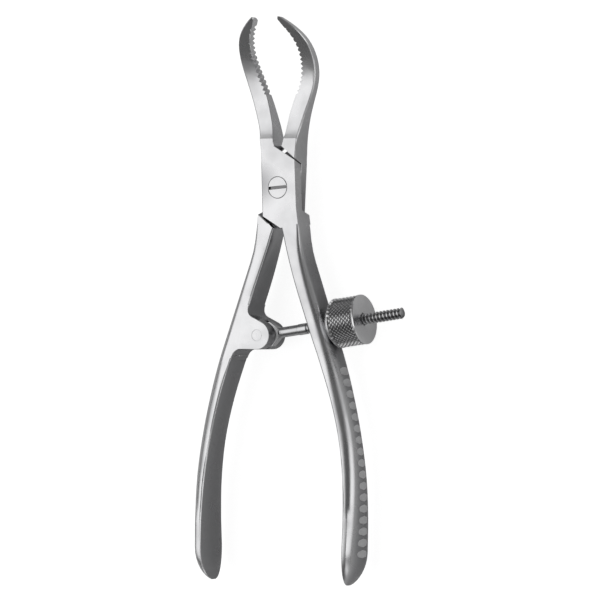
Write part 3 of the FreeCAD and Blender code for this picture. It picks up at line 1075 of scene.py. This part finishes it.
@dataclass
class KnurledNut:
    """The long nut: diamond knurl, plain bevelled rims and a through bore.

    It is drawn along +Z from its inner end.

    Attributes:
        start: How far from the pin the nut begins.
        rim: How wide a plain band runs beside the knurl.
        around: How many diamonds go round.
        along: How many lie along the nut.
        end_reach: How far off an end's height its face may lie.
    """

    finishes: Finishes
    line: SpindleLine
    start: float = 28.9 * MM
    length: float = 12.0 * MM
    radius: float = 8.79 * MM
    inner_bevel: float = 1.5 * MM
    outer_bevel: float = 0.4 * MM
    rim: float = 0.14 * MM
    bore: float = 2.05 * MM
    countersink: float = 0.45 * MM
    around: int = 36
    along: int = 7
    depth: float = 0.55 * MM
    groove_shade: float = 0.95
    end_reach: float = 0.01 * MM
    smooth_angle: float = 8.0

    @property
    def band(self) -> float:
        """The length of the knurl between the two bevels."""
        return self.length - self.inner_bevel - self.outer_bevel

    def knurled_body(self) -> Object:
        """Models the nut: a cylinder whose lattice corners are sunk in turn.

        Returns:
            The object, drawn along +Z from its inner end.
        """
        deselect()
        bpy.ops.mesh.primitive_cylinder_add(
            vertices=2 * self.around,
            radius=self.radius,
            depth=self.band,
            end_fill_type="NGON",
            location=(0, 0, self.inner_bevel + self.band / 2),
        )
        piece = bpy.context.object
        piece.name = "knurled_nut_dressed"
        settle(piece)
        verts = piece.data.vertices

        def lengthwise(edge: MeshEdge) -> bool:
            """Whether an edge runs along the nut."""
            low, high = (verts[k].co.z for k in edge.vertices)
            return abs(high - low) > self.band / 2

        select_part(piece, "EDGE", lengthwise)
        bpy.ops.mesh.subdivide(number_cuts=2 * self.along - 1)
        end_edit()
        self.sink_corners(piece)
        # The knurl's sunk corners get painted shade.
        mark_recess(piece, [self.groove(vert.co) for vert in piece.data.vertices])
        self.bevel_end(piece, self.band + self.inner_bevel, self.outer_bevel, 1)
        self.bevel_end(piece, self.inner_bevel, self.inner_bevel, -1)
        self.open_bore(piece)
        return piece

    def groove(self, place: Vector) -> float:
        """How much shade is painted at a place of the upright nut: the groove's mark at the bottom
        of the knurl.
        """
        sunk = (self.radius - math.hypot(place.x, place.y)) / self.depth
        return self.groove_shade if round(sunk) == 1 else 0.0

    def sink_corners(self, piece: Object) -> None:
        """Sinks every second corner of the lattice, and splits the faces along the grooves."""
        step_round = math.pi / self.around
        step_along = self.band / (2 * self.along)

        def sunk(vert: bpy.types.MeshVertex) -> bool:
            """Whether a corner of the lattice is one of those to sink."""
            row = round((vert.co.z - self.inner_bevel) / step_along)
            if row in (0, 2 * self.along):
                return False
            column = round(math.atan2(vert.co.y, vert.co.x) / step_round)
            return (row + column) % 2 == 1

        select_part(piece, "VERT", sunk)
        share = 1.0 - self.depth / self.radius
        middle = (0.0, 0.0, self.inner_bevel + self.band / 2)
        bpy.ops.transform.resize(value=(share, share, 1.0), center_override=middle)
        bpy.ops.mesh.vert_connect()
        end_edit()

    def select_end(self, piece: Object, height: float, side: int) -> None:
        """Selects the flat face at the nut's outer end, side 1, or its inner end, side -1."""

        def at_end(face: MeshPolygon) -> bool:
            """Whether a face is the end's."""
            near = abs(face.center.z - height) < self.end_reach
            return near and face.normal.z * side > POINTING

        select_part(piece, "FACE", at_end)

    def extrude_end(self, height: float, move: float, share: float) -> None:
        """Extrudes the selected end along the nut to a height, and narrows it to a share."""
        extrude(move)
        bpy.ops.transform.resize(value=(share, share, 1.0), center_override=(0, 0, height))

    def bevel_end(self, piece: Object, height: float, size: float, side: int) -> None:
        """Extrudes one end out into its plain band and its bevel.

        Args:
            piece: The nut.
            height: The end's height.
            size: The bevel's size, with the band.
            side: 1 for the outer end, -1 for the inner.
        """
        slope = size - self.rim
        self.select_end(piece, height, side)
        extrude(side * self.rim)
        self.extrude_end(height + side * size, side * slope, 1.0 - slope / self.radius)
        end_edit()

    def open_bore(self, piece: Object) -> None:
        """Insets both ends to the bore, with a countersink, and joins them through the nut."""
        sink = self.countersink
        for height, side, size in ((0.0, -1, self.inner_bevel), (self.length, 1, self.outer_bevel)):
            self.select_end(piece, height, side)
            bpy.ops.mesh.inset(thickness=self.radius - size - self.bore - sink, depth=0)
            self.extrude_end(height - side * sink, -side * sink, self.bore / (self.bore + sink))
            end_edit()

        def is_disc(face: MeshPolygon) -> bool:
            """Whether a face is one of the two discs that still close the bore."""
            return abs(face.normal.z) > POINTING and len(face.vertices) == 2 * self.around

        select_part(piece, "FACE", is_disc)
        bpy.ops.mesh.bridge_edge_loops()
        end_edit()

    def build(self) -> None:
        """Models and dresses the nut."""
        piece = self.knurled_body()
        piece.rotation_euler = (0.0, math.pi / 2, 0.0)
        piece.location = (self.start, 0.0, 0.0)
        settle(piece)
        self.line.lay(piece)
        fix_normals(piece)
        smooth(piece, self.smooth_angle)
        self.finishes.dress(piece, Slot.NUT)
        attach(piece, "knurled_nut")
        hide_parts("knurled_nut")
        log.info("%s: %d faces", piece.name, len(piece.data.polygons))


@dataclass(frozen=True)
class SoftBox:
    """A round patch of light in the sky.

    Attributes:
        aim: The direction in which it lies.
        edge: The cosine of the angle from its middle where it begins.
        full: The cosine of the angle where it has its full strength.
        strength: How bright it is there.
    """

    aim: tuple[float, float, float]
    edge: float
    full: float
    strength: float


@dataclass
class Studio:
    """The pale floor, the soft light and the camera.

    Attributes:
        floor_glow: The glow that the camera sees on the floor.
        floor_shine: The glow that the steel mirrors.
        horizon: The sky's brightness up to sky_low.
        zenith: Its brightness from sky_high.
        frame_height: The height of the picture at the object.
        aim_right: How far to the right of the joint the camera aims.
        aim_up: How far above the joint it aims.
    """

    floor_size: float = 4.0
    floor_drop: float = 0.05 * MM
    floor_grey: float = 0.6
    floor_roughness: float = 0.9
    floor_glow: float = 0.86
    floor_shine: float = 0.12
    horizon: float = 0.22
    zenith: float = 0.095
    sky_low: float = 0.02
    sky_high: float = 0.3
    boxes: tuple[SoftBox, ...] = (
        SoftBox((-0.588, 0.03, 0.809), 0.74, 0.97, 1.0),
        SoftBox((0.9, 0.05, 0.42), 0.92, 0.985, 1.0),
        SoftBox((0.0, 1.0, 0.12), 0.86, 0.97, 0.8),
        SoftBox((0.6, -0.68, 0.35), 0.9, 0.985, 0.8),
    )
    camera_turn: float = 30.0
    camera_roll: float = 0.5
    lens: float = 250.0
    sensor: float = 36.0
    clip_end: float = 20.0
    frame_height: float = 212.4 * MM
    aim_right: float = 6.05 * MM
    aim_up: float = -39.67 * MM
    aim_height: float = 4.5 * MM

    def floor(self) -> None:
        """Lays the floor just under the lowest point of the object."""
        low = cad_box[0][2] - self.floor_drop
        deselect()
        bpy.ops.mesh.primitive_plane_add(size=self.floor_size, location=(0, 0, low))
        floor = bpy.context.object
        floor.name = "pale_floor"
        material = bpy.data.materials.new("pale_floor")
        material.use_nodes = True
        tree = material.node_tree
        kit = Nodes(tree)
        path = kit.add("ShaderNodeLightPath").outputs
        shown = kit.math("MAXIMUM", path["Is Camera Ray"], path["Is Transmission Ray"])
        shown = kit.math("MULTIPLY", shown, self.floor_glow)
        mirrored = kit.math("MULTIPLY", path["Is Glossy Ray"], self.floor_shine)
        kit.feed(
            tree.nodes["Principled BSDF"],
            Base_Color=(self.floor_grey, self.floor_grey, self.floor_grey, 1.0),
            Roughness=self.floor_roughness,
            Specular_IOR_Level=0.0,
            Emission_Color=WHITE,
            Emission_Strength=kit.math("MAXIMUM", shown, mirrored),
        )
        floor.data.materials.append(material)

    def camera(self) -> None:
        """Sets the camera at the photograph's viewing angle."""
        turn = math.radians(self.camera_turn)
        roll = math.radians(self.camera_roll)
        back = Vector((math.sin(turn), 0.0, math.cos(turn)))
        right = Vector((math.cos(turn), 0.0, -math.sin(turn)))
        up = Vector((0.0, 1.0, 0.0))
        target = Vector((0.0, 0.0, self.aim_height)) + right * self.aim_right + up * self.aim_up
        distance = self.frame_height * self.lens / self.sensor
        rolled_right = right * math.cos(roll) + up * math.sin(roll)
        rolled_up = up * math.cos(roll) - right * math.sin(roll)
        data = bpy.data.cameras.new("photo_camera")
        data.lens = self.lens
        data.sensor_width = self.sensor
        data.clip_end = self.clip_end
        camera = bpy.data.objects.new("photo_camera", data)
        bpy.context.scene.collection.objects.link(camera)
        axes = Matrix((rolled_right, rolled_up, back)).transposed().to_4x4()
        camera.matrix_world = Matrix.Translation(target + back * distance) @ axes
        bpy.context.scene.camera = camera

    def world(self) -> None:
        """Surrounds the scene with soft boxes drawn on a grey sky, and white for the camera."""
        world = bpy.data.worlds.new("soft_studio")
        bpy.context.scene.world = world
        world.use_nodes = True
        tree = world.node_tree
        kit = Nodes(tree)
        direction = kit.add("ShaderNodeTexCoord").outputs["Generated"]
        height = kit.split(direction)["Z"]
        level = kit.remap(height, self.sky_low, self.sky_high, self.horizon, self.zenith)
        for box in self.boxes:
            aim = tuple(Vector(box.aim).normalized())
            cosine = kit.vector_math("DOT_PRODUCT", direction, aim).outputs["Value"]
            light = kit.remap(cosine, box.edge, box.full, 0.0, box.strength)
            level = kit.math("ADD", level, light)
        seen = kit.add("ShaderNodeLightPath").outputs["Is Camera Ray"]
        strength = kit.add("ShaderNodeMix", data_type="FLOAT")
        kit.feed(strength, Factor=seen, A=level, B=1.0)
        kit.feed(tree.nodes["Background"], Color=WHITE, Strength=strength.outputs[0])

    def build(self) -> None:
        """Builds floor, light and camera."""
        self.floor()
        self.world()
        self.camera()
        bpy.context.scene.view_settings.view_transform = "Standard"


def main() -> None:
    """Builds every sub-assembly in order."""
    logging.basicConfig(level=logging.INFO, format="%(name)s: %(message)s")
    finishes = Finishes()
    finishes.build()
    line = read_spindle_line()
    CarriedPieces(finishes).build()
    Spindle(finishes, line).build()
    KnurledNut(finishes, line).build()
    Studio().build()


if __name__ == "__main__":
    main()
